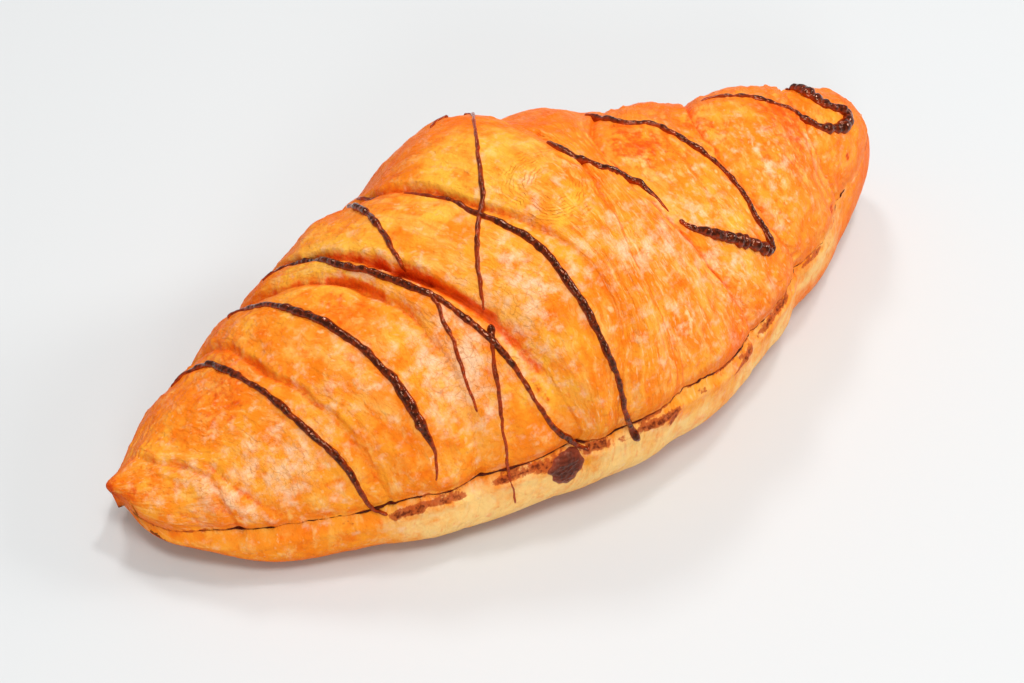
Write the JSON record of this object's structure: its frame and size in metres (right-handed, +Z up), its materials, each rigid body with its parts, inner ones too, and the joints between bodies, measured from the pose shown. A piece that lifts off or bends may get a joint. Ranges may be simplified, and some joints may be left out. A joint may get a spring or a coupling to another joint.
{
  "type": "chocolate croissant",
  "caption": "Baked laminated croissant, sliced lengthwise and closed over a thin chocolate filling, with chocolate drizzle across its wrapped crust.",
  "frame": {"origin": "bottom centre of the croissant's box, on the surface it rests on", "axes": "+X along the croissant from its pointed tip to its blunt tip, +Y from its front to its back, +Z up"},
  "size_m": [0.1912, 0.0822, 0.0597],
  "materials": {
    "golden_crust": "egg-washed baked dough, satin",
    "pale_crust": "pale baked dough, matt",
    "chocolate": "set chocolate, semi-gloss"
  },
  "bodies": {
    "root": {"upper_crust": "golden_crust", "chocolate_filling": "chocolate", "lower_crust": "pale_crust"}
  },
  "joints": []
}
